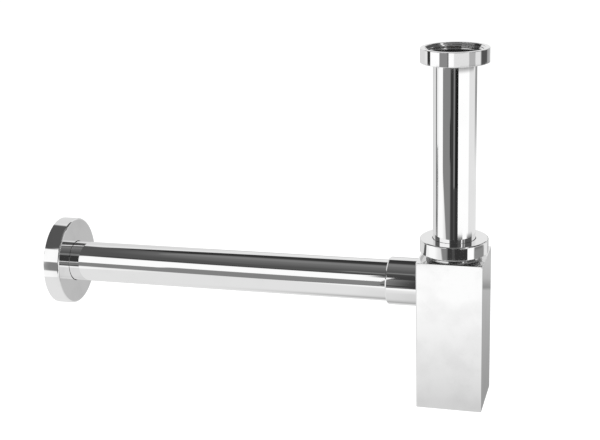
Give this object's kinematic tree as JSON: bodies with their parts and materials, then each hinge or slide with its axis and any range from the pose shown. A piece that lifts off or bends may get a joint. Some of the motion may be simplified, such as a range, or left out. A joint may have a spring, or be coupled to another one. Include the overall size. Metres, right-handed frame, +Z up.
{
  "type": "bottle trap",
  "caption": "Square-bodied chromed bottle trap for a basin: union nut and inlet tube on top, side outlet pipe with a round wall flange, cleaning plug below.",
  "frame": {"origin": "centre of the inlet's sealing face, on top of the washer inside the union nut", "axes": "+Z up along the inlet tube, away from the trap; the outlet pipe runs along -X to the wall; +Y is across"},
  "size_m": [0.3621, 0.07, 0.2747],
  "materials": {
    "chromed_brass": "polished chrome",
    "black_rubber": "moulded rubber",
    "slip_plastic": "natural moulded plastic"
  },
  "bodies": {
    "inlet_nut": {"inlet_nut": "chromed_brass"},
    "inlet_washer": {"inlet_washer": "black_rubber"},
    "inlet_tube": {"inlet_tube": "chromed_brass"},
    "cone_seal": {"cone_seal": "black_rubber"},
    "trap_body": {"trap_body": "chromed_brass", "outlet_socket": "chromed_brass", "socket_gasket": "black_rubber"},
    "slip_ring": {"slip_ring": "slip_plastic"},
    "collar_nut": {"collar_nut": "chromed_brass"},
    "socket_rings": {"socket_ring_outer": "black_rubber", "socket_ring_inner": "black_rubber"},
    "outlet_pipe": {"outlet_pipe": "chromed_brass"},
    "flange_ring": {"flange_ring": "black_rubber"},
    "wall_flange": {"wall_flange": "chromed_brass"},
    "plug_ring": {"plug_ring": "black_rubber"},
    "cleaning_plug": {"cleaning_plug": "chromed_brass"}
  },
  "joints": [
    {"name": "nut_drop", "type": "slide", "parent": "inlet_nut", "child": "inlet_washer", "axis": [0, 0, 1], "range_m": [0, 0.11]},
    {"name": "tube_turn", "type": "hinge", "parent": "inlet_washer", "child": "inlet_tube", "pos_m": [0, 0, 0], "axis": [0, 0, 1], "continuous": true},
    {"name": "height_adjust", "type": "slide", "parent": "inlet_tube", "child": "cone_seal", "axis": [0, 0, 1], "range_m": [-0.05, 0.015]},
    {"name": "body_swivel", "type": "hinge", "parent": "cone_seal", "child": "trap_body", "pos_m": [0, 0, -0.152], "axis": [0, 0, 1], "continuous": true},
    {"name": "collar_rise", "type": "slide", "parent": "trap_body", "child": "slip_ring", "axis": [0, 0, 1], "range_m": [0, 0.0053]},
    {"name": "collar_turn", "type": "hinge", "parent": "slip_ring", "child": "collar_nut", "pos_m": [0, 0, -0.152], "axis": [0, 0, 1], "range_deg": [0, 826]},
    {"name": "pipe_turn", "type": "hinge", "parent": "trap_body", "child": "socket_rings", "pos_m": [-0.0282, 0, -0.176], "axis": [-1, 0, 0], "continuous": true},
    {"name": "pipe_pull", "type": "slide", "parent": "socket_rings", "child": "outlet_pipe", "axis": [-1, 0, 0], "range_m": [0, 0.01]},
    {"name": "flange_slide", "type": "slide", "parent": "outlet_pipe", "child": "flange_ring", "axis": [1, 0, 0], "range_m": [-0.01, 0.262]},
    {"name": "flange_turn", "type": "hinge", "parent": "flange_ring", "child": "wall_flange", "pos_m": [-0.3263, 0, -0.176], "axis": [1, 0, 0], "continuous": true},
    {"name": "plug_drop", "type": "slide", "parent": "trap_body", "child": "plug_ring", "axis": [0, 0, -1], "range_m": [0, 0.0045]},
    {"name": "plug_turn", "type": "hinge", "parent": "plug_ring", "child": "cleaning_plug", "pos_m": [0, 0, -0.269], "axis": [0, 0, -1], "range_deg": [0, 1080]}
  ],
  "couplings": [
    {"joint": "collar_rise", "follows": "collar_turn", "m_per_rad": 0.00036749},
    {"joint": "plug_drop", "follows": "plug_turn", "m_per_rad": 0.00023873}
  ]
}
